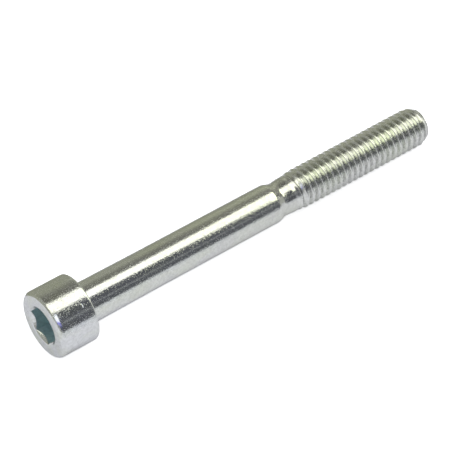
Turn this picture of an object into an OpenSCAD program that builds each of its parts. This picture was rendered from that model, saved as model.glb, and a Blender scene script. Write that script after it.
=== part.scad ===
// Socket head cap screw, M6 x 60, partly threaded, in millimetres.
// The screw lies along X. The origin is the centre of the bearing face under the head:
// the head is on the -X side, the shank and the thread point to +X.
// It is cold headed from wire: the socket is punched in, and the thread is rolled on,
// which is why the neck before the thread is thinner than the shank.

/* [Head] */
// Diameter of the head
head_d = 10; // [9.8:0.1:10.4]
// Height of the head, from the bearing face to the socket face
head_h = 6; // [5.7:0.1:6.4]
// Radius of the edge round the socket face
head_edge_r = 0.7; // [0.3:0.1:0.9]
// Radius of the edge round the bearing face
head_foot_r = 0.3; // [0.1:0.1:0.4]

/* [Socket] */
// Width of the hexagon across its flats
socket_af = 5; // [4:0.5:5]
// Depth of the flat walls below the socket face
socket_depth = 3; // [2:0.1:3.3]
// Depth of the shallow point below the walls
socket_point_h = 0.6; // [0.2:0.1:0.8]
// Diameter of the countersink at the socket face
mouth_d = 5.95; // [5.8:0.05:6.2]
// Angle between the countersink and the socket face
mouth_slope = 27; // [15:1:45]

/* [Shank] */
// Diameter of the plain shank
shank_d = 5.86; // [5.8:0.02:6]
// Diameter close under the head, where the wire has spread a little
flare_d = 6; // [5.9:0.02:6.2]
// Length over which that spread fades
flare_len = 11; // [6:1:16]
// Radius of the fillet between the bearing face and the shank
fillet_r = 0.25; // [0.1:0.05:0.3]
// Distance from the bearing face to the end of the full shank
shank_end = 32.4; // [24:0.2:33]
// Length of the cone from the shank down to the neck
cone_len = 2.1; // [1:0.1:2.4]
// Diameter of the neck, the thinnest place of the plain part
neck_d = 5.06; // [5:0.02:5.2]
// Length over which the neck widens to the blank that the thread is rolled on
neck_len = 0.9; // [0.4:0.1:1]
// Diameter of that blank, halfway between the thread's crests and roots
blank_d = 5.32; // [5.3:0.02:5.4]
// Length of the blank that is left plain before the thread
blank_len = 0.2; // [0.2:0.1:1]

/* [Thread] */
// Distance from the bearing face to the tip
length = 60; // [50:1:70]
// Distance from one turn of the thread to the next
pitch = 1; // [0.8:0.05:1.1]
// Outside diameter of the thread
thread_d = 5.8; // [5.74:0.02:5.82]
// Length over which the thread rises to its full height
runout_len = 2.4; // [1.2:0.2:3]
// Angle by which the thread is turned round the screw against the hexagon
thread_turn = 90; // [0:90:270]
// Diameter of the end face at the tip
tip_d = 4.3; // [3.6:0.1:4.7]
// Length of the rounded chamfer at the tip
tip_chamfer_len = 1.8; // [0.8:0.1:2]

/* [Smoothness] */
// Facets in one turn of the thread
thread_facets = 24; // [16:4:28]
// Steps in each rounded edge
edge_steps = 6; // [3:1:8]

/* [Hidden] */

steel = [0.78, 0.79, 0.79];

// Facets of the round forms
round_fn = 96;
// Sides of the socket
hexagon = 6;
// Length by which one form runs into the next
overlap = 0.3;
// How far the thread's core stays inside the blank where the two overlap
core_step = 0.02;
// Rows of the thread that come closer than this to an end are put on that end
row_snap = 0.03;

// Half the angle between the two flanks of the thread
flank_angle = 30;
// The flanks are cut off at five eighths of the height at which they would meet
flank_share = 5 / 8;
triangle_h = pitch / 2 / tan(flank_angle);
thread_depth = triangle_h * flank_share;
flank_run = thread_depth * tan(flank_angle);
// What the two flanks leave of the pitch is shared by the crest and the root
flat_run = pitch / 2 - flank_run;

head_r = head_d / 2;
shank_r = shank_d / 2;
flare_r = flare_d / 2;
neck_r = neck_d / 2;
blank_r = blank_d / 2;
crest_r = thread_d / 2;
root_r = crest_r - thread_depth;
tip_r = tip_d / 2;
mouth_r = mouth_d / 2;
socket_r = socket_af / 2 / cos(180 / hexagon);

neck_end = shank_end + cone_len + neck_len;
thread_start = neck_end + blank_len;
core_start = thread_start - overlap;
core_r = blank_r - core_step;

// One turn has four rows of points: root start, root end, crest start and crest end
turn_rows = 4;
row_offset = [0, flat_run, flat_run + flank_run, 2 * flat_run + flank_run];
// Rows start two turns early, so that every column starts flat on the core's end
spare_turns = 2;
turns = ceil((length - core_start) / pitch) + 2 * spare_turns;
rows = turns * turn_rows;
// The columns stand half a facet off, so that a facet of the thread faces down, and not an edge
half_facet = 180 / thread_facets;

// Points of an arc round a centre, from one angle to another
function arc(centre, radius, from, to) = [
    for (i = [0:edge_steps])
        let (angle = from + (to - from) * i / edge_steps)
            centre + radius * [cos(angle), sin(angle)]
];

// A smooth rise from 0 to 1 while x goes from 0 to 1
function rise(x) = let (u = min(max(x, 0), 1)) u * u * (3 - 2 * u);

// Height of a row of the thread on one column, before it is cut to length
function row_z(column, row) =
    core_start
    + pitch * (floor(row / turn_rows) - spare_turns + column / thread_facets)
    + row_offset[row % turn_rows];

// Radius of that row: it leaves the blank for its own height and stays inside the tip's chamfer
function row_r(row, z) =
    let (
        full_r = row % turn_rows < 2 ? root_r : crest_r,
        risen_r = core_r + (full_r - core_r) * rise((z - thread_start) / runout_len),
        chamfer_share = min(max((length - z) / tip_chamfer_len, 0), 1),
        chamfer_r = tip_r + (crest_r - tip_r) * sin(90 * chamfer_share)
    )
    min(risen_r, chamfer_r);

// A point on a column of the thread
function column_point(column, r, z) =
    let (angle = 360 * column / thread_facets + half_facet)
        [r * cos(angle), r * sin(angle), z];

// Number of a row's point. Past the last column the rows go on one turn higher.
function point_number(column, row) =
    column == thread_facets ? point_number(0, row + turn_rows) :
    row_z(column, row) < core_start + row_snap ? column :
    row_z(column, row) > length - row_snap ? thread_facets + column :
    2 * thread_facets + column * rows + row;

function whole(face) = face[0] != face[1] && face[1] != face[2] && face[2] != face[0];

// The screw laid down: its own Z becomes X, and its own X points up
module along_x() {
    rotate([0, -90, 180])
        children();
}

// Head, shank, neck and blank, turned as one body round Z with the bearing face at zero
module blank() {
    rotate_extrude($fn = round_fn)
        polygon(concat(
            [[0, -head_h]],
            arc([head_r - head_edge_r, head_edge_r - head_h], head_edge_r, -90, 0),
            arc([head_r - head_foot_r, -head_foot_r], head_foot_r, 0, 90),
            arc([flare_r + fillet_r, fillet_r], fillet_r, 270, 180),
            [
                [shank_r, flare_len],
                [shank_r, shank_end],
                [neck_r, shank_end + cone_len],
                [blank_r, neck_end],
                [blank_r, thread_start],
                [0, thread_start]
            ]
        ));
}

// The punched hexagon with its countersunk mouth and shallow point, open towards -Z
module socket() {
    mouth_h = mouth_r * tan(mouth_slope);
    translate([0, 0, -head_h]) {
        rotate(180 / hexagon)
            translate([0, 0, -overlap])
                cylinder(h = socket_depth + overlap, r = socket_r, $fn = hexagon);
        translate([0, 0, socket_depth])
            cylinder(h = socket_point_h, r1 = socket_af / 2, r2 = 0, $fn = round_fn);
        cylinder(h = mouth_h, r1 = mouth_r, r2 = 0, $fn = round_fn);
    }
}

// The rolled thread with its core, one closed skin wound round Z, right-handed
module thread() {
    ring = [for (i = [0:thread_facets - 1]) column_point(i, core_r, core_start)];
    tip_ring = [for (i = [0:thread_facets - 1]) column_point(i, tip_r, length)];
    skin = [
        for (i = [0:thread_facets - 1], k = [0:rows - 1])
            let (z = row_z(i, k)) column_point(i, row_r(k, z), z)
    ];
    sides = [
        for (i = [0:thread_facets - 1], k = [0:rows - turn_rows - 2])
            let (
                a = point_number(i, k),
                b = point_number(i + 1, k),
                c = point_number(i + 1, k + 1),
                d = point_number(i, k + 1)
            )
            each [[a, d, c], [a, c, b]]
    ];
    ends = [
        [for (i = [0:thread_facets - 1]) i],
        [for (i = [0:thread_facets - 1]) 2 * thread_facets - 1 - i]
    ];
    polyhedron(
        points = concat(ring, tip_ring, skin),
        faces = concat([for (face = sides) if (whole(face)) face], ends),
        convexity = 10
    );
}

module cap_screw() {
    color(steel)
        along_x()
            difference() {
                union() {
                    blank();
                    rotate(thread_turn)
                        thread();
                }
                socket();
            }
}

cap_screw();
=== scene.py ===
import math

import bmesh
import bpy
import numpy as np
from mathutils import Matrix, Vector


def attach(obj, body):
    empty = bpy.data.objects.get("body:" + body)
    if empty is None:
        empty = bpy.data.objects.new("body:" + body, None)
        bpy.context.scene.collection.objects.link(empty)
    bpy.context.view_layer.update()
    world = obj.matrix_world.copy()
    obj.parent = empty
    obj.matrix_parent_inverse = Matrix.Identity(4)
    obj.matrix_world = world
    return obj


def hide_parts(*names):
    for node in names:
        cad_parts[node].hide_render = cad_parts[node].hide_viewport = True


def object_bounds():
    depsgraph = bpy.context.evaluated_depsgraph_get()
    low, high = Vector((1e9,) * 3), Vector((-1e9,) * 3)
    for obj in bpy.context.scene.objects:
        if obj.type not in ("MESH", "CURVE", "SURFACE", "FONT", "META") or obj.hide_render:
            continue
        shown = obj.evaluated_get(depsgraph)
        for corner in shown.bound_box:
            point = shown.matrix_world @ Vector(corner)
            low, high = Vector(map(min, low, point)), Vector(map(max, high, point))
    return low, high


bl_info = {
    "name": "Socket head cap screw",
    "version": (1, 0, 0),
    "blender": (4, 5, 0),
    "location": "View3D > Sidebar > Cap screw",
    "description": "Skin, plating and studio for a partly threaded socket head cap screw",
    "category": "Object",
}

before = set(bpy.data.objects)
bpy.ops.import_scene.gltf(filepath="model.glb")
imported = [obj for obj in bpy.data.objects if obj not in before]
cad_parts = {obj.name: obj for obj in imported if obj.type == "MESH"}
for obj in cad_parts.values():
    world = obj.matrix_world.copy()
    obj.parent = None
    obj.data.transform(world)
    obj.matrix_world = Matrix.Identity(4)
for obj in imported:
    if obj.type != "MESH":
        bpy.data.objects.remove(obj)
CAD_LOW, CAD_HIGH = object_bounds()
MM = 0.001
NODE = "cap_screw"

# Regions of the skin, by the place of their material
SMOOTH, SOCKET, THREAD = 0, 1, 2

# Points closer than this are one, and edges that turn by more than this are sharp
SAME_POINT = 0.0005 * MM
SHARP = math.radians(40)

# Widths of the tip's shallow ring at which it has faded, and degrees of the tip's edge
RING_FADE = 2.5
TIP_EDGE_TURN = 60

# Noise scales per metre, and the turns that keep the noise's grid off the screw's axis
DRAWN_STRETCH = (90, 5200, 5200)
SCRATCH_STRETCH = (500, 6500, 6500)
SCRATCH_TURN = (0.4, 0.5, 0.6)
PEBBLE_SCALE = 5200.0
PIT_SCALE = 6200.0
GRAIN_TURN = (0.5, 0.7, 0.9)
CLOUD_STRETCH = (160, 420, 420)
CRYSTAL_SCALE = 2600.0
CRYSTAL_TURN = (0.9, 0.5, 0.7)

# Between these values of its noise a mask goes from zero to one
PIT_RANGE = (0.52, 0.76)
SCRATCH_RANGE = (0.62, 0.75)
CLOUD_RANGE = (0.42, 0.68)
CRYSTAL_RANGE = (0.35, 0.65)

# Where along X the painted shade of the plating's colour reaches its full darkness, and the
# darkest tone of the crystals
SHADE_DRIFT_END = 0.03
CRYSTAL_SHADE = (0.86, 0.86, 0.86, 1.0)

# The nick is where two shells meet: middle in mm, radius and half thickness in mm
NICK_SHELLS = (((-2.4, -2.6, 4.3), 0.9, 0.10), ((-1.5, -2.6, 4.3), 0.0, 0.6))

# How the marks roughen the metal: their range, the factor in full, and what a pit adds
WEAR_RANGE = (0.35, 0.9)
WORN_ROUGHER = 1.7
SPECK_ROUGHER = 0.22

# Colour of the metal's glancing reflection
METAL_TINT = (0.75, 0.75, 0.76, 1.0)

# Tones of the surroundings that the metal reflects
BRIGHT = (1.80, 1.79, 1.66)
BRIGHT_MID = (1.85, 1.86, 1.60)
BRIGHT_FAR = (3.10, 3.25, 2.40)
DARK = (0.110, 0.115, 0.130)
LINE = (0.6, 0.62, 0.62)
PALE = (0.92, 0.945, 0.985)
OLIVE = (0.43, 0.44, 0.35)
OLIVE_MID = (0.22, 0.22, 0.19)
OLIVE_DARK = (0.17, 0.17, 0.16)
FAR_GREY = (0.52, 0.53, 0.49)
SKY = (1.60, 1.66, 1.85)
VIOLET = (0.36, 0.36, 1.0)
WHITE = (1.0, 1.0, 1.0, 1.0)
WORLD = (0.42, 0.43, 0.45, 1.0)
WORLD_IN_GLOSS = (0.42, 0.43, 0.39, 1.0)

# Cards along the screw: their distance from it, and where they start, meet and end along X
BAND_REACH = 0.9
BAND_START, NEAR_END, FAR_END = -0.75, 0.95, 4.0

# Along X, the first share of the tones holds up to here, and the second from here on
HEAD_SHARE_X, NECK_SHARE_X = 0.36, 0.50

# Name, two angles in degrees, a tone at each, the two shares, and the end along X
BANDS = (
    ("card_low", (-2, 11), (PALE, PALE), (1.0, 0.85), FAR_END),
    ("card_dark_low", (11, 37.5), (DARK, DARK), (1.0, 1.45), NEAR_END),
    ("card_line", (37.5, 40), (LINE, LINE), (1.0, 1.1), NEAR_END),
    ("card_dark_high", (40, 90), (DARK, DARK), (1.0, 1.45), NEAR_END),
    ("card_back_dark", (90, 135), (OLIVE_DARK, OLIVE_MID), (0.9, 1.65), FAR_END),
    ("card_back_mid", (135, 160), (OLIVE_MID, OLIVE), (0.9, 1.4), FAR_END),
    ("card_back", (160, 182), (OLIVE, OLIVE), (0.9, 1.3), FAR_END),
)
FAR_BANDS = (("card_far", (11, 70), FAR_GREY), ("card_far_high", (70, 90), OLIVE_DARK))

# Corners (X, Y) of the card that lies on the floor behind the screw, and its lift off it
BACK_LOW = ((-0.75, 0.012), (1.2, 0.012), (1.2, 0.9), (-0.75, 0.9))
BACK_LOW_LIFT = 0.3 * MM

# Two small cards close over the head: name, ends along X, sides along Y and tone
SMALL_Z = 0.0326
SMALL_CARDS = (
    ("card_sky", (-0.0745, 0.001), (-0.0276, -0.0111), SKY),
    ("card_violet", (-0.0745, -0.004), (-0.0476, -0.0276), VIOLET),
)

# The light strip over the screw: places along X, both sides along Y and tones
OVERHEAD_Z = 0.12
OVERHEAD = (
    (-0.25, 0.0, 0.10, BRIGHT_MID),
    (-0.03, -0.020, 0.050, BRIGHT_MID),
    (0.040, -0.0265, 0.047, BRIGHT),
    (0.0485, -0.028, 0.046, BRIGHT),
    (0.050, -0.0285, 0.056, BRIGHT),
    (0.056, -0.030, 0.050, BRIGHT),
    (0.066, -0.035, 0.042, BRIGHT_MID),
    (0.090, -0.0435, 0.044, BRIGHT_MID),
    (0.098, -0.0665, 0.046, BRIGHT_MID),
    (0.106, -0.073, 0.048, BRIGHT_FAR),
    (0.118, -0.070, 0.049, BRIGHT_FAR),
    (0.157, -0.070, 0.049, BRIGHT_FAR),
)

# The upright card beyond the tip
END_CARD = ((0.5, -0.085, 0.01), (0.5, 0.05, 0.01), (0.5, 0.06, 0.17), (0.5, -0.10, 0.17))

# The lamp's size, power and place, and half the floor's width
LAMP_SIZE, LAMP_POWER, LAMP_PLACE = (0.8, 0.6), 2.75, (-0.05, 0.0, 0.7)
FLOOR_HALF = 4.0


def length(label, words, default):
    """A property that holds a length."""
    return bpy.props.FloatProperty(
        name=label, description=words, default=default, unit="LENGTH", precision=5
    )


def angle(label, words, degrees):
    """A property that holds an angle, given here in degrees."""
    return bpy.props.FloatProperty(
        name=label, description=words, default=math.radians(degrees), subtype="ANGLE"
    )


def number(label, words, default):
    """A property that holds a plain factor."""
    return bpy.props.FloatProperty(name=label, description=words, default=default)


def colour(label, words, default):
    """A property that holds a colour."""
    return bpy.props.FloatVectorProperty(
        name=label, description=words, default=default, subtype="COLOR", soft_max=2.0
    )


class ScrewForm(bpy.types.PropertyGroup):
    """Sizes of the screw. It lies along X, with the bearing face under the head at zero."""

    head_d: length("Head diameter", "Width of the head", CAD_HIGH.y - CAD_LOW.y)
    head_h: length("Head height", "From the bearing face to the socket face", -CAD_LOW.x)
    reach: length("Length", "From the bearing face to the tip", CAD_HIGH.x)
    head_edge_r: length("Head edge", "Radius round the socket face", 0.7 * MM)
    head_foot_r: length("Head foot", "Radius round the bearing face", 0.3 * MM)
    socket_af: length("Hexagon", "Width across the flats of the socket", 5 * MM)
    socket_depth: length("Socket depth", "Depth of the flat walls", 3 * MM)
    socket_point_h: length("Socket point", "Depth of the cone below the walls", 0.6 * MM)
    mouth_d: length("Mouth diameter", "Width of the socket's countersink", 5.95 * MM)
    mouth_slope: angle("Mouth slope", "Angle of the countersink to the socket face", 43)
    mouth_r: length("Mouth edge", "Radius between the countersink and the flat walls", 0.08 * MM)
    crisp_r: length("Crisp edge", "Half width of the small round on punched edges", 0.05 * MM)
    fillet_r: length("Fillet", "Radius between the bearing face and the shank", 0.25 * MM)
    flare_d: length("Flare diameter", "Width of the shank close under the head", 6 * MM)
    flare_len: length("Flare length", "Length over which the flare fades", 11 * MM)
    shank_d: length("Shank diameter", "Width of the plain shank", 5.86 * MM)
    shank_end: length("Shank end", "Where the full shank ends", 32.4 * MM)
    cone_len: length("Cone length", "From the full shank down to the neck", 1.9 * MM)
    neck_d: length("Neck diameter", "Width of the thinnest place", 5.12 * MM)
    neck_len: length("Neck length", "From the neck to the plain blank", 1.1 * MM)
    blank_d: length("Blank diameter", "Width of the blank that is rolled", 5.32 * MM)
    blank_len: length("Blank length", "Plain blank before the thread", 0.2 * MM)
    pitch: length("Pitch", "From one turn of the thread to the next", 1 * MM)
    thread_d: length("Thread diameter", "Width over the crests", 5.8 * MM)
    groove_x: length("Groove place", "Middle of a groove, on the side towards +Y", 34.5 * MM)
    root_r: length("Root round", "Radius at the bottom of the groove", 0.144 * MM)
    crest_r: length("Crest round", "Radius on both sides of the crest", 0.045 * MM)
    runout_len: length("Run-out", "Length over which the thread rises", 2.4 * MM)
    tip_d: length("Tip diameter", "Width of the end face", 4.5 * MM)
    tip_len: length("Tip chamfer", "Length of the rounded chamfer", 1.8 * MM)
    tip_fade: length("Tip fade", "Length over which the thread fades at the tip", 0.7 * MM)
    tip_plain: length("Plain tip", "Smooth end beyond the thread", 0.35 * MM)
    tip_ring: length("Tip ring", "From the end face to the shallow ring round the tip", 0.32 * MM)
    tip_ring_w: length("Tip ring width", "How far the shallow ring spreads", 0.085 * MM)
    tip_ring_h: length("Tip ring depth", "Depth of the shallow ring", 0.045 * MM)
    tip_edge_r: length("Tip edge", "Radius round the end face", 0.1 * MM)
    bend: length("Bend", "Half length of the round where the neck begins to widen", 0.25 * MM)
    columns: bpy.props.IntProperty(
        name="Columns", description="Steps in one turn round the axis", default=144
    )


class PlatingFinishAndShade(bpy.types.PropertyGroup):
    """Finish of the zinc plating; some of its colours hold painted shade."""

    # From the bright colour at the head to the far one next to the thread the plating darkens:
    # painted shade, for the dimmer floor that the metal reflects nearer the tip
    bright: colour("Bright plating", "Colour of clean plating at the head", (0.715, 0.727, 0.738))
    far: colour("Far plating", "Colour of clean plating next to the thread", (0.645, 0.651, 0.628))
    warm: colour("Warm patches", "Colour of the passivated patches", (0.69, 0.71, 0.65))
    # The socket's colour is darker and bluer than outside: partly the plating's tint there, partly
    # painted shade of the recess
    socket: colour("Punched socket", "Colour inside the socket", (0.53, 0.655, 0.675))
    thread: colour("Rolled thread", "Colour of the thread", (0.70, 0.705, 0.69))
    roughness: number("Roughness", "Roughness of the smooth plating", 0.11)
    socket_roughness: number("Socket roughness", "Roughness inside the socket", 0.34)
    thread_roughness: number("Thread roughness", "Roughness of the thread", 0.2)
    socket_relief: number("Socket relief", "Share of the marks inside the socket", 0.4)
    thread_relief: number("Thread relief", "Share of the marks on the thread", 0.3)
    marks: length("Mark depth", "Depth of the drawing marks", 0.002 * MM)
    pebble: length("Pebble depth", "Depth of the plating's fine unevenness", 0.010 * MM)
    pits: length("Pit depth", "Depth of the small pits", 0.0055 * MM)
    nick: length("Nick depth", "Depth of the curved nick on the head", 0.03 * MM)


class Studio(bpy.types.PropertyGroup):
    """Camera, light and surroundings."""

    camera_x: length("Camera X", "Place of the camera along the screw", -135.90 * MM)
    camera_y: length("Camera Y", "Place of the camera across the screw", -169.64 * MM)
    camera_z: length("Camera Z", "Height of the camera over the axis", 293.88 * MM)
    azimuth: angle("Azimuth", "Side from which the camera looks", -43.44)
    elevation: angle("Elevation", "Height from which the camera looks", 51.451)
    roll: angle("Roll", "Turn of the camera round its view", 8.22)
    lens: number("Lens", "Focal length for a sensor 36 mm wide", 216.0)
    floor_white: number("Floor", "Reflectance of the floor", 0.9)
    floor_seen: colour("Floor seen", "Glow of the floor to the camera", (0.7, 0.7, 0.7))
    floor_in_gloss: colour(
        "Floor in gloss", "Glow of the floor in the metal", (0.143, 0.143, 0.152)
    )


def arc(centre_x, centre_r, radius, start, end, steps):
    """Points (place along the axis, distance from it) of a circle's arc, angles in degrees.

    Zero degrees points along the axis, and ninety degrees away from it.
    """
    turn = np.radians(np.linspace(start, end, steps + 1))
    around = [centre_x + radius * np.cos(turn), centre_r + radius * np.sin(turn)]
    return np.stack(around, axis=1)


def spread(start, end, steps):
    """Points in even steps on the straight line between two (place, distance) points."""
    share = np.linspace(0, 1, steps + 1)[:, None]
    return np.array(start) * (1 - share) + np.array(end) * share


def bend(before, corner, after, reach, steps):
    """Points of a parabola that rounds a corner, from one straight stretch to the next.

    It starts and ends at the given reach from the corner. A point is the sum of the start,
    the corner and the end, weighted by (1 - s)^2, 2 s (1 - s) and s^2.
    """
    before, corner, after = (np.array(point) for point in (before, corner, after))
    start = corner + reach * (before - corner) / np.linalg.norm(before - corner)
    end = corner + reach * (after - corner) / np.linalg.norm(after - corner)
    s = np.linspace(0, 1, steps + 1)[:, None]
    return start * (1 - s) ** 2 + corner * 2 * s * (1 - s) + end * s**2


def rise(share):
    """A smooth rise from 0 to 1 while the share goes from 0 to 1: three squares less two cubes."""
    share = np.clip(share, 0, 1)
    return share * share * (3 - 2 * share)


def hexagon(turn, flats):
    """Distance from the axis to a hexagon's side at each angle, with a corner at zero.

    It is half the width across flats over the cosine of the angle from the nearest flat's middle.
    """
    sixth = math.pi / 3
    return flats / 2 / np.cos(np.mod(turn, sixth) - sixth / 2)


def socket_rows(form, turn):
    """Rows (place, distance) from the socket's middle to its rim, each with a value per angle.

    It also gives the number of rows of quads below the countersink. A cone leads
    out to the flat floor, and the floor to the hexagon. The walls run straight up the axis
    to the countersink, whose place on the wall is the distance from wall to rim times the
    tangent of its slope, so its lower edge dips at the middle of each flat.
    """
    side = hexagon(turn, form.socket_af)
    floor_x = form.socket_depth - form.head_h
    small = form.crisp_r
    slope = math.tan(form.mouth_slope)
    rim = form.mouth_d / 2
    edge_x = (rim - side) * slope - form.head_h
    round_x = form.mouth_r
    round_y = form.mouth_r * np.cos(form.mouth_slope)

    point = (floor_x + form.socket_point_h, 0)
    rows = [tuple(row) for row in spread(point, (floor_x, form.socket_af / 2 - small), 6)]
    rows += [(floor_x, side - small), (floor_x - small, side)]
    rows += [
        (floor_x - small + (edge_x + round_x - floor_x + small) * share, side)
        for share in np.linspace(0, 1, 9)[1:]
    ]
    wall_rows = len(rows) - 1
    rows += [
        (
            edge_x + round_x * (1 - s) ** 2 - round_y * slope * s**2,
            side + round_y * s**2,
        )
        for s in np.linspace(0, 1, 7)[1:]
    ]
    width = rim - small - side - round_y
    rows += [
        (edge_x - slope * (round_y + width * share), side + round_y + width * share)
        for share in np.linspace(0, 1, 5)[1:]
    ]
    rows += [(-form.head_h, rim + small)]
    places = np.stack([np.broadcast_to(row[0], turn.shape) for row in rows])
    distances = np.stack([np.broadcast_to(row[1], turn.shape) for row in rows])
    return places, distances, wall_rows


def blank_profile(form):
    """Profile (place, distance) from the socket's rim over the head and the shank to the thread.

    Straight stretches between quarter circles. The shank falls to the neck along a smooth
    rise turned upside down. The neck widens straight to the blank, with a round at both bends.
    """
    face_x = -form.head_h
    head = form.head_d / 2
    flare, shank, neck, blank = (
        width / 2 for width in (form.flare_d, form.shank_d, form.neck_d, form.blank_d)
    )
    edge, foot, fillet = form.head_edge_r, form.head_foot_r, form.fillet_r
    rim = form.mouth_d / 2 + form.crisp_r
    neck_x = form.shank_end + form.cone_len
    blank_x = neck_x + form.neck_len

    thread_x = blank_x + form.blank_len
    corners = [(neck_x - form.bend, neck), (neck_x, neck), (blank_x, blank), (thread_x, blank)]
    neck_bend = bend(*corners[:3], form.bend, 6)
    blank_bend = bend(*corners[1:], form.blank_len / 2, 4)
    share = np.linspace(0, 1, 21)
    fall_len = form.cone_len - form.bend
    cone_x, cone_r = form.shank_end + fall_len * share, shank + (neck - shank) * rise(share)

    return np.concatenate([
        spread((face_x, rim), (face_x, head - edge), 4)[1:],
        arc(face_x + edge, head - edge, edge, 180, 90, 12)[1:],
        spread((face_x + edge, head), (-foot, head), 20)[1:],
        arc(-foot, head - foot, foot, 90, 0, 6)[1:],
        spread((0, head - foot), (0, flare + fillet), 4)[1:],
        arc(fillet, flare + fillet, fillet, 180, 270, 6)[1:],
        spread((fillet, flare), (form.flare_len, shank), 12)[1:],
        spread((form.flare_len, shank), (form.shank_end, shank), 22)[1:],
        np.stack([cone_x, cone_r], axis=1)[1:],
        neck_bend[1:],
        spread(neck_bend[-1], blank_bend[0], 3)[1:],
        blank_bend[1:],
        spread(blank_bend[-1], corners[-1], 1)[1:],
    ])


def thread_profile(form):
    """One pitch of the rolled thread as (place, distance) points, from groove to groove.

    The groove's bottom and both sides of the crest are arcs of 60 degrees each way, which
    meet flanks that stand 60 degrees off the axis. The depth follows from the flanks.
    """
    flank = math.radians(60)
    pitch, root, crest = form.pitch, form.root_r, form.crest_r
    top = form.thread_d / 2
    flat = pitch / 16
    depth = root * (1 - math.cos(flank)) + math.tan(flank) * (
        pitch / 2 - flat - root * math.sin(flank)
    )
    groove = arc(0, top - depth + root, root, -90, -30, 3)
    shoulder_x = pitch / 2 - flat + crest * math.tan(flank / 2)
    shoulder = arc(shoulder_x, top - crest, crest, 150, 90, 3)
    half = np.concatenate([groove, (groove[-1:] + shoulder[:1]) / 2, shoulder])
    half = half[half[:, 0] < pitch / 2 - crest / 8]
    other = half[1:][::-1] * [-1, 1] + [pitch, 0]
    middle = np.array([[pitch / 2, top]])
    return np.concatenate([half, middle, other])


def thread_rows(form, turn):
    """Rows (place, distance) of the rolled thread, and how many rows make one pitch.

    A row follows the helix: its place is that of its profile point plus the pitch times the
    share of a turn. Rows past either end are laid on that end. The distance leaves the
    blank's radius smoothly along the run-out, comes back to it at the tip, and stays under
    the tip's rounded chamfer.
    """
    start = form.shank_end + form.cone_len + form.neck_len + form.blank_len
    profile = thread_profile(form)
    first = math.floor((start - form.groove_x) / form.pitch) - 1
    last = math.ceil((form.reach - form.groove_x) / form.pitch) + 1
    turns = np.arange(first, last + 1)[:, None]
    place = (form.groove_x + turns * form.pitch + profile[None, :, 0]).reshape(-1, 1)
    place = place + form.pitch * turn[None, :] / (2 * math.pi)
    distance = np.tile(profile[:, 1], len(turns))[:, None]

    blank = form.blank_d / 2
    near = form.pitch / 50
    end = tip_start(form)
    place = np.where(place < start + near, start, place)
    place = np.where(place > end - near, end, place)
    left = form.reach - form.tip_plain - place
    height = rise((place - start) / form.runout_len) * rise(left / form.tip_fade)
    risen = blank + (distance - blank) * height
    return place, np.minimum(risen, tip_cap(form, place)), len(profile)


def tip_cap(form, place):
    """Distance from the axis to the tip's chamfer: it falls along a quarter of a sine wave."""
    tip, top = form.tip_d / 2, form.thread_d / 2
    share = np.clip((form.reach - place) / form.tip_len, 0, 1)
    return tip + (top - tip) * np.sin(share * math.pi / 2)


def tip_start(form):
    """Where the plain rings of the tip begin, past the thread: where the shallow ring fades."""
    return form.reach - form.tip_ring - RING_FADE * form.tip_ring_w


def tip_profile(form):
    """Profile (place, distance) of the plain tip, from the end of the thread to the axis.

    The chamfer has a shallow ring, whose depth is a bell curve round its middle, and ends in
    a circle's arc and the flat end face.
    """
    edge_x = form.reach - form.tip_edge_r / 2
    place = np.linspace(tip_start(form), edge_x, 16)
    away = (form.reach - form.tip_ring - place) / form.tip_ring_w
    bell = form.tip_ring_h * (np.exp(-away * away / 2) - np.exp(-away[0] ** 2 / 2))
    distance = tip_cap(form, place) - np.maximum(bell, 0)
    middle = distance[-1] - form.tip_edge_r * math.sin(math.radians(TIP_EDGE_TURN))
    return np.concatenate([
        np.stack([place, distance], axis=1),
        arc(form.reach - form.tip_edge_r, middle, form.tip_edge_r, TIP_EDGE_TURN, 0, 5)[1:],
        spread((form.reach, middle), (form.reach, 0), 3)[1:],
    ])


def grid_faces(rows, columns, first, lift=0):
    """Quads between neighbouring rows and columns, their first point having this number.

    The last column joins the first one, as many rows further on as the lift says.
    """
    row = np.arange(rows - 1 - lift)[:, None]
    column = np.arange(columns)[None, :]
    after = (column + 1) % columns
    jump = np.where(after == 0, lift, 0)
    near, far = row + 0 * column, row + jump
    corners = [(near, column), (far, after), (far + 1, after), (near + 1, column)]
    faces = [first + r * columns + c + 0 * near for r, c in corners]
    return np.stack(faces, axis=-1).reshape(-1, 4)


def screw_skin(form):
    """Points and quads of the whole skin, and a number on each quad that says its region.

    Every row is a loop round the axis: a point's place is its distance from the axis times
    the cosine and sine of its angle, which starts at +Y and goes by way of +Z.
    """
    turn = np.linspace(0, 2 * math.pi, form.columns, endpoint=False)
    socket_x, socket_r, wall_rows = socket_rows(form, turn)
    wall_quads = wall_rows * form.columns
    blank = blank_profile(form)
    spiral_x, spiral_r, pitch_rows = thread_rows(form, turn)
    end = tip_profile(form)

    wide = np.ones((1, form.columns))
    body_x = np.concatenate([socket_x, blank[:, :1] * wide])
    body_r = np.concatenate([socket_r, blank[:, 1:] * wide])
    parts = [
        (body_x, body_r, 0),
        (spiral_x, spiral_r, pitch_rows),
        (end[:, :1] * wide, end[:, 1:] * wide, 0),
    ]
    points, faces, regions = [], [], []
    first = 0
    for name, (place, distance, lift) in zip((SMOOTH, THREAD, SMOOTH), parts):
        around = [distance * np.cos(turn), distance * np.sin(turn)]
        points.append(np.stack([place, *around], axis=-1).reshape(-1, 3))
        quads = grid_faces(len(place), form.columns, first, lift)
        region = np.full(len(quads), name)
        if name == SMOOTH and not faces:
            region[:wall_quads] = SOCKET
        faces.append(quads)
        regions.append(region)
        first += place.size
    points, faces = np.concatenate(points), np.concatenate(faces)
    regions = np.concatenate(regions)
    empty = np.ptp(points[faces], axis=1).sum(axis=1) == 0
    return points, faces[~empty], regions[~empty]


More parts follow.
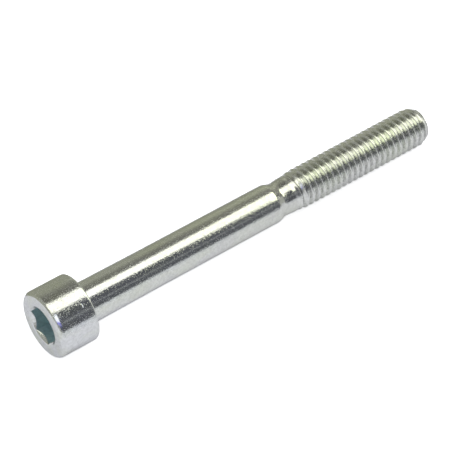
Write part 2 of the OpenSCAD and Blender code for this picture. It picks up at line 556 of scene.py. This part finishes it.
def mesh_piece(name, points, faces, regions, materials):
    """A closed mesh from points and quads, with doubles merged and smooth but for its edges."""
    mesh = bpy.data.meshes.new(name)
    mesh.from_pydata(points.tolist(), [], faces.tolist())
    mesh.polygons.foreach_set("material_index", regions.astype(np.int32))
    for material in materials:
        mesh.materials.append(material)

    skin = bmesh.new()
    skin.from_mesh(mesh)
    bmesh.ops.remove_doubles(skin, verts=skin.verts, dist=SAME_POINT)
    bmesh.ops.recalc_face_normals(skin, faces=skin.faces)
    open_edges = sum(not edge.is_manifold for edge in skin.edges)
    skin.to_mesh(mesh)
    skin.free()
    if open_edges:
        raise RuntimeError(f"{name} has {open_edges} open edges")

    mesh.polygons.foreach_set("use_smooth", np.ones(len(mesh.polygons), dtype=bool))
    mesh.set_sharp_from_angle(angle=SHARP)
    piece = bpy.data.objects.new(name, mesh)
    bpy.context.scene.collection.objects.link(piece)
    return piece


def node(tree, kind, values=None, **settings):
    """Adds a shader node, sets it, and gives each named input a value or another node's output."""
    made = tree.nodes.new("ShaderNode" + kind)
    for key, value in settings.items():
        setattr(made, key, value)
    for key, value in (values or {}).items():
        if isinstance(value, bpy.types.NodeSocket):
            tree.links.new(value, made.inputs[key])
        else:
            made.inputs[key].default_value = value
    return made


def maths(tree, operation, *values):
    """Output of a Math node with these values in its inputs."""
    return node(tree, "Math", dict(enumerate(values)), operation=operation).outputs[0]


def mix(tree, share, first, second, blend="MIX"):
    """Output that is the first colour mixed with the second one."""
    values = {0: share, 6: first, 7: second}
    return node(tree, "Mix", values, data_type="RGBA", blend_type=blend).outputs[2]


def ranged(tree, value, ends, to=(0.0, 1.0), smooth=False):
    """Output that goes from one value to another while the given value goes between two ends."""
    values = {"Value": value, "From Min": ends[0], "From Max": ends[1]}
    values |= {"To Min": to[0], "To Max": to[1]}
    kind = "SMOOTHSTEP" if smooth else "LINEAR"
    return node(tree, "MapRange", values, interpolation_type=kind).outputs[0]


def placed(tree, place, turn=(0, 0, 0), stretch=(1, 1, 1)):
    """Coordinates turned and stretched before a noise."""
    values = {"Vector": place, "Rotation": turn, "Scale": stretch}
    return node(tree, "Mapping", values).outputs[0]


def noise(tree, place, scale, detail, roughness=0.5):
    """Output of a fractal noise."""
    values = {"Vector": place, "Scale": scale, "Detail": detail, "Roughness": roughness}
    return node(tree, "TexNoise", values).outputs["Fac"]


def node_group(name, inputs, outputs):
    """An empty node group with named inputs (with defaults) and outputs, and its two ends."""
    tree = bpy.data.node_groups.new(name, "ShaderNodeTree")
    for label, default in inputs.items():
        kind = "NodeSocketColor" if isinstance(default, tuple) else "NodeSocketFloat"
        tree.interface.new_socket(label, in_out="INPUT", socket_type=kind).default_value = default
    tree.interface.new_socket("Vector", in_out="INPUT", socket_type="NodeSocketVector")
    for label in outputs:
        kind = "NodeSocketColor" if label == "Colour" else "NodeSocketFloat"
        tree.interface.new_socket(label, in_out="OUTPUT", socket_type=kind)
    return tree, tree.nodes.new("NodeGroupInput"), tree.nodes.new("NodeGroupOutput")


def pits_mask(tree, place):
    """Output that is one in the middle of small scattered pits and zero between them.

    It is the part of a fine noise that stands over a threshold.
    """
    return ranged(tree, noise(tree, place, PIT_SCALE, 1.0), PIT_RANGE, smooth=True)


def nick_mask(tree, place):
    """Output that is one along a short curved nick on the head's side and zero elsewhere.

    It is the part of a sphere's shell that lies near the nick's middle.
    """
    masks = []
    for middle, radius, width in NICK_SHELLS:
        centre = tuple(value * MM for value in middle)
        away = node(tree, "VectorMath", {0: place, 1: centre}, operation="DISTANCE")
        off = maths(tree, "SUBTRACT", away.outputs["Value"], radius * MM)
        off = maths(tree, "ABSOLUTE", off)
        masks.append(ranged(tree, off, (width * MM, 0.0), smooth=True))
    return maths(tree, "MULTIPLY", *masks)


def marks_group():
    """Node group for the surface: drawing marks, pebbling, scratches, pits and a nick.

    Height is in metres: the drawn and pebbled noises times their depths, less the
    scratches, the pits and the nick times theirs. Wear is a mask of the marks and the
    scratches, and Specks a mask of the pits, both for roughness.
    """
    depths = {"Mark Depth": 0.0, "Pebble Depth": 0.0, "Pit Depth": 0.0, "Nick Depth": 0.0}
    tree, given, result = node_group("surface_marks", depths, ("Height", "Wear", "Specks"))
    place = given.outputs["Vector"]
    grains = placed(tree, place, turn=GRAIN_TURN)
    drawn = noise(tree, placed(tree, place, stretch=DRAWN_STRETCH), 1.0, 4.0, 0.6)
    pebbled = noise(tree, grains, PEBBLE_SCALE, 1.0)
    scratch = noise(tree, placed(tree, place, SCRATCH_TURN, SCRATCH_STRETCH), 1.0, 1.0)
    scratched = ranged(tree, scratch, SCRATCH_RANGE)
    pits = pits_mask(tree, grains)

    height = maths(tree, "MULTIPLY", drawn, given.outputs["Mark Depth"])
    height = maths(tree, "MULTIPLY_ADD", pebbled, given.outputs["Pebble Depth"], height)
    nick = nick_mask(tree, place)
    for mask, depth in ((scratched, "Mark Depth"), (pits, "Pit Depth"), (nick, "Nick Depth")):
        dent = maths(tree, "MULTIPLY", mask, given.outputs[depth])
        height = maths(tree, "SUBTRACT", height, dent)
    wear = maths(tree, "MAXIMUM", scratched, drawn)
    for output, label in ((height, "Height"), (wear, "Wear"), (pits, "Specks")):
        tree.links.new(output, result.inputs[label])
    return tree


def tint_and_shade_group():
    """Node group for the plating's colour.

    Its colour darkens along the screw towards the thread, which is painted shade; it has soft
    patches and is mottled by its fine crystals.
    """
    colours = {"Clean": WHITE, "Far": WHITE, "Patch": WHITE}
    tree, given, result = node_group("plating_tint_and_shade", colours, ("Colour",))
    place = given.outputs["Vector"]
    along = node(tree, "SeparateXYZ", {0: place}).outputs["X"]
    # Painted shade: the colour darkens from the head at zero to the far colour along X
    shade_drift = ranged(tree, along, (0.0, SHADE_DRIFT_END))
    clean = mix(tree, shade_drift, given.outputs["Clean"], given.outputs["Far"])
    cloud = noise(tree, placed(tree, place, stretch=CLOUD_STRETCH), 1.0, 3.0)
    patched = mix(tree, ranged(tree, cloud, CLOUD_RANGE), clean, given.outputs["Patch"])
    crystals = noise(tree, placed(tree, place, turn=CRYSTAL_TURN), CRYSTAL_SCALE, 3.0)
    dark = ranged(tree, crystals, CRYSTAL_RANGE)
    mottled = mix(tree, dark, patched, CRYSTAL_SHADE, "MULTIPLY")
    tree.links.new(mottled, result.inputs["Colour"])
    return tree


def empty_material(name):
    """A new material and its node tree, with no nodes in it."""
    material = bpy.data.materials.new(name)
    material.use_nodes = True
    material.node_tree.nodes.clear()
    return material, material.node_tree


def put_out(tree, shader, kind="OutputMaterial"):
    """Links a shader node to a new output node."""
    tree.links.new(shader.outputs[0], node(tree, kind).inputs["Surface"])


def plating(name, groups, finish, clean, far, patch, roughness, relief=1.0, nick=0.0):
    """A metal material whose tint, painted shade and marks come from the shared groups.

    Its roughness rises with the wear mask, and by a set amount in the pits.
    """
    material, tree = empty_material(name)
    settings = (
        {
            "Mark Depth": finish.marks * relief,
            "Pebble Depth": finish.pebble * relief,
            "Pit Depth": finish.pits * relief,
            "Nick Depth": nick,
        },
        {"Clean": (*clean, 1), "Far": (*far, 1), "Patch": (*patch, 1)},
    )
    place = node(tree, "TexCoord").outputs["Object"]
    marks, tint = (node(tree, "Group", node_tree=group) for group in groups)
    for group, values in zip((marks, tint), settings):
        for label, value in values.items():
            group.inputs[label].default_value = value
        tree.links.new(place, group.inputs["Vector"])

    worn = (roughness, roughness * WORN_ROUGHER)
    rough = ranged(tree, marks.outputs["Wear"], WEAR_RANGE, worn)
    dull = SPECK_ROUGHER * relief
    rough = maths(tree, "MULTIPLY_ADD", marks.outputs["Specks"], dull, rough)
    bump = node(tree, "Bump", {"Height": marks.outputs["Height"], "Distance": 1.0})
    metal = {
        "Base Color": tint.outputs["Colour"],
        "Metallic": 1.0,
        "Roughness": rough,
        "Specular Tint": METAL_TINT,
        "Normal": bump.outputs[0],
    }
    put_out(tree, node(tree, "BsdfPrincipled", metal))
    return material


class CAPSCREW_OT_screw(bpy.types.Operator):
    """Builds the screw's skin with its rolled thread and punched socket, and plates it."""

    bl_idname = "capscrew.screw"
    bl_label = "Cap screw"

    def execute(self, context):
        form = context.scene.screw_form
        finish = context.scene.plating_finish
        groups = marks_group(), tint_and_shade_group()
        # The bright plating darkens towards the thread in painted shade, from its colour at the
        # head to the far one
        bright = (finish.bright, finish.far, finish.warm, finish.roughness, 1.0, finish.nick)
        # The socket's darker, bluer colour is partly plating tint and partly painted shade of the
        # recess
        socket = [finish.socket] * 3 + [finish.socket_roughness, finish.socket_relief]
        thread = [finish.thread] * 2 + [finish.warm]
        thread += [finish.thread_roughness, finish.thread_relief]
        materials = [
            plating("bright_plating_with_shade", groups, finish, *bright),
            plating("punched_plating_with_shade", groups, finish, *socket),
            plating("rolled_plating", groups, finish, *thread),
        ]
        points, faces, regions = screw_skin(form)
        piece = mesh_piece("cap_screw_skin", points, faces, regions, materials)
        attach(piece, "root")
        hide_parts(NODE)
        return {"FINISHED"}


def glow_material(name):
    """Plain emission of the colour attribute named tone, for a card that metal reflects."""
    material, tree = empty_material(name)
    tone = node(tree, "Attribute", attribute_name="tone").outputs["Color"]
    put_out(tree, node(tree, "Emission", {"Color": tone, "Strength": 1.0}))
    return material


def stage_piece(name, points, faces, material):
    """A stage mesh from points and quads, which isn't part of the screw."""
    mesh = bpy.data.meshes.new(name)
    mesh.from_pydata(points.tolist(), [], faces.tolist())
    mesh.materials.append(material)
    piece = bpy.data.objects.new(name, mesh)
    bpy.context.scene.collection.objects.link(piece)
    return piece


def card(name, material, corners, tones):
    """A flat card with four corners and a colour at each, seen only in the screw's gloss.

    Its points are the corners mixed with the two shares of the grid.
    """
    steps = 8
    u = np.linspace(0, 1, steps + 1)[:, None, None]
    v = np.linspace(0, 1, steps + 1)[None, :, None]

    def mixed(values):
        values = np.array(values, dtype=float)
        low = values[0] * (1 - u) + values[1] * u
        high = values[3] * (1 - u) + values[2] * u
        return (low * (1 - v) + high * v).reshape(-1, values.shape[1])

    row, column = np.meshgrid(np.arange(steps), np.arange(steps), indexing="ij")
    width = steps + 1
    first = (row * width + column).reshape(-1, 1)
    faces = first + np.array([0, width, width + 1, 1])
    piece = stage_piece(name, mixed(corners), faces, material)
    tone = piece.data.color_attributes.new("tone", "FLOAT_COLOR", "POINT")
    shades = np.concatenate([mixed(tones), np.ones((width * width, 1))], axis=1)
    tone.data.foreach_set("color", shades.ravel())
    piece.visible_camera = False
    piece.visible_diffuse = False
    piece.visible_shadow = False
    piece.visible_transmission = False


def band(name, material, start, end, angles, tones):
    """A card along the screw, from one X to another and between two angles seen from it.

    An angle is counted from -Y, in degrees, up over +Z. The tones are those of the corners:
    the first angle's from start to end, then the second angle's from end to start.
    """
    low, high = (
        (-BAND_REACH * math.cos(turn), BAND_REACH * math.sin(turn))
        for turn in np.radians(angles)
    )
    corners = [(start, *low), (end, *low), (end, *high), (start, *high)]
    card(name, material, corners, tones)


def banded_card(name, material, angles, tones, shares, end):
    """Three bands in line along the screw, with a tone at each of the two angles.

    The tones are times the first share as far as the head's reflection goes, times the
    second from the neck's on, and change evenly between.
    """
    low, high = np.array(tones)
    places = (BAND_START, HEAD_SHARE_X, NECK_SHARE_X, end)
    factors = (shares[0], shares[0], shares[1], shares[1])
    for i in range(3):
        near, far = factors[i : i + 2]
        shades = [low * near, low * far, high * far, high * near]
        band(f"{name}_{i}", material, *places[i : i + 2], angles, shades)


def level_card(name, material, height, start, end):
    """A level card over the screw. Each end is its X, its two places along Y and its tone."""
    (x0, low0, high0, tone0), (x1, low1, high1, tone1) = start, end
    corners = [(x0, low0, height), (x1, low1, height), (x1, high1, height), (x0, high0, height)]
    card(name, material, corners, [tone0, tone1, tone1, tone0])


class CAPSCREW_OT_studio(bpy.types.Operator):
    """Sets up the floor, the cards that the metal reflects, the lamp, the world and camera."""

    bl_idname = "capscrew.studio"
    bl_label = "Studio"

    def execute(self, context):
        studio = context.scene.screw_studio
        form = context.scene.screw_form
        floor(form, studio)
        cards(form)
        light()
        white_world()
        camera(context.scene, studio)
        context.scene.view_settings.view_transform = "Standard"
        return {"FINISHED"}


def floor_height(form, x):
    """Height of the plane that touches the head's rim and the crest next to the tip."""
    head, crest = form.head_d / 2, form.thread_d / 2
    heel_x, toe_x = -form.head_foot_r, form.reach - form.tip_len
    return (head - crest) * (x - heel_x) / (toe_x - heel_x) - head


def floor(form, studio):
    """A white floor that the screw rests on.

    It is matte, and glows in one tone to the camera and in another in the metal's gloss.
    """
    material, tree = empty_material("floor_white")
    paths = node(tree, "LightPath").outputs
    gloss = paths["Is Glossy Ray"]
    plain = maths(tree, "ADD", paths["Is Camera Ray"], paths["Is Transmission Ray"])
    tone = mix(tree, gloss, (*studio.floor_seen, 1), (*studio.floor_in_gloss, 1))
    strength = maths(tree, "ADD", plain, gloss)
    matte = node(tree, "BsdfDiffuse", {"Color": (studio.floor_white,) * 3 + (1,)})
    glow = node(tree, "Emission", {"Color": tone, "Strength": strength})
    put_out(tree, node(tree, "AddShader", {0: matte.outputs[0], 1: glow.outputs[0]}))

    half = FLOOR_HALF
    corners = [(-half, -half), (half, -half), (half, half), (-half, half)]
    points = np.array([(x, y, floor_height(form, x)) for x, y in corners])
    stage_piece("floor", points, np.array([[0, 1, 2, 3]]), material)


def cards(form):
    """The surroundings that the metal reflects: bands along the screw and a strip over it."""
    glow = glow_material("card_glow")
    for name, angles, tones, shares, end in BANDS:
        banded_card(name, glow, angles, tones, shares, end)
    for name, angles, tone in FAR_BANDS:
        band(name, glow, NEAR_END, FAR_END, angles, [tone] * 4)
    corners = [(x, y, floor_height(form, x) + BACK_LOW_LIFT) for x, y in BACK_LOW]
    card("card_back_low", glow, corners, [OLIVE] * 4)
    for name, (start, end), sides, tone in SMALL_CARDS:
        level_card(name, glow, SMALL_Z, (start, *sides, tone), (end, *sides, tone))
    for i, (start, end) in enumerate(zip(OVERHEAD, OVERHEAD[1:])):
        level_card(f"card_overhead_{i}", glow, OVERHEAD_Z, start, end)
    card("card_end", glow, END_CARD, [BRIGHT_MID] * 4)


def light():
    """One soft lamp overhead for the floor. In the gloss the cards stand for it."""
    lamp = bpy.data.lights.new("soft_overhead", "AREA")
    lamp.shape = "RECTANGLE"
    lamp.size, lamp.size_y = LAMP_SIZE
    lamp.energy = LAMP_POWER
    holder = bpy.data.objects.new("soft_overhead", lamp)
    holder.location = LAMP_PLACE
    holder.visible_glossy = False
    bpy.context.scene.collection.objects.link(holder)


def white_world():
    """A world that is white to the camera, pale to everything else and warmer in the gloss."""
    world = bpy.data.worlds.new("white_world")
    world.use_nodes = True
    tree = world.node_tree
    tree.nodes.clear()
    paths = node(tree, "LightPath").outputs
    lit = mix(tree, paths["Is Glossy Ray"], WORLD, WORLD_IN_GLOSS)
    tone = mix(tree, paths["Is Camera Ray"], lit, WHITE)
    background = node(tree, "Background", {"Color": tone, "Strength": 1.0})
    put_out(tree, background, "OutputWorld")
    bpy.context.scene.world = world


def camera(scene, studio):
    """The camera at the photograph's place, turned by azimuth, elevation and roll."""
    data = bpy.data.cameras.new("camera")
    data.sensor_width = 36
    data.lens = studio.lens
    data.clip_start = 0.01
    data.clip_end = 20
    holder = bpy.data.objects.new("camera", data)
    turned = (
        Matrix.Rotation(studio.azimuth, 4, "Z")
        @ Matrix.Rotation(math.pi / 2 - studio.elevation, 4, "X")
        @ Matrix.Rotation(studio.roll, 4, "Z")
    )
    place = Vector((studio.camera_x, studio.camera_y, studio.camera_z))
    holder.matrix_world = Matrix.Translation(place) @ turned
    scene.collection.objects.link(holder)
    scene.camera = holder


class CAPSCREW_PT_panel(bpy.types.Panel):
    """Lists the operators that build the screw and its studio."""

    bl_idname = "CAPSCREW_PT_panel"
    bl_label = "Cap screw"
    bl_space_type = "VIEW_3D"
    bl_region_type = "UI"
    bl_category = "Cap screw"

    def draw(self, context):
        for operator in OPERATORS:
            self.layout.operator(operator.bl_idname)
        for group in GROUPS:
            values = getattr(context.scene, group)
            for name in values.bl_rna.properties.keys():
                if name not in ("rna_type", "name"):
                    self.layout.prop(values, name)


GROUPS = {"screw_form": ScrewForm, "plating_finish": PlatingFinishAndShade, "screw_studio": Studio}
OPERATORS = (CAPSCREW_OT_screw, CAPSCREW_OT_studio)


def register():
    """Adds the classes and the scene's settings."""
    for kind in (*GROUPS.values(), *OPERATORS, CAPSCREW_PT_panel):
        bpy.utils.register_class(kind)
    for name, kind in GROUPS.items():
        setattr(bpy.types.Scene, name, bpy.props.PointerProperty(type=kind))


def unregister():
    """Removes the scene's settings and the classes."""
    for name in GROUPS:
        delattr(bpy.types.Scene, name)
    for kind in (CAPSCREW_PT_panel, *reversed(OPERATORS), *GROUPS.values()):
        bpy.utils.unregister_class(kind)


def main():
    register()
    bpy.ops.capscrew.screw()
    bpy.ops.capscrew.studio()


if __name__ == "__main__":
    main()
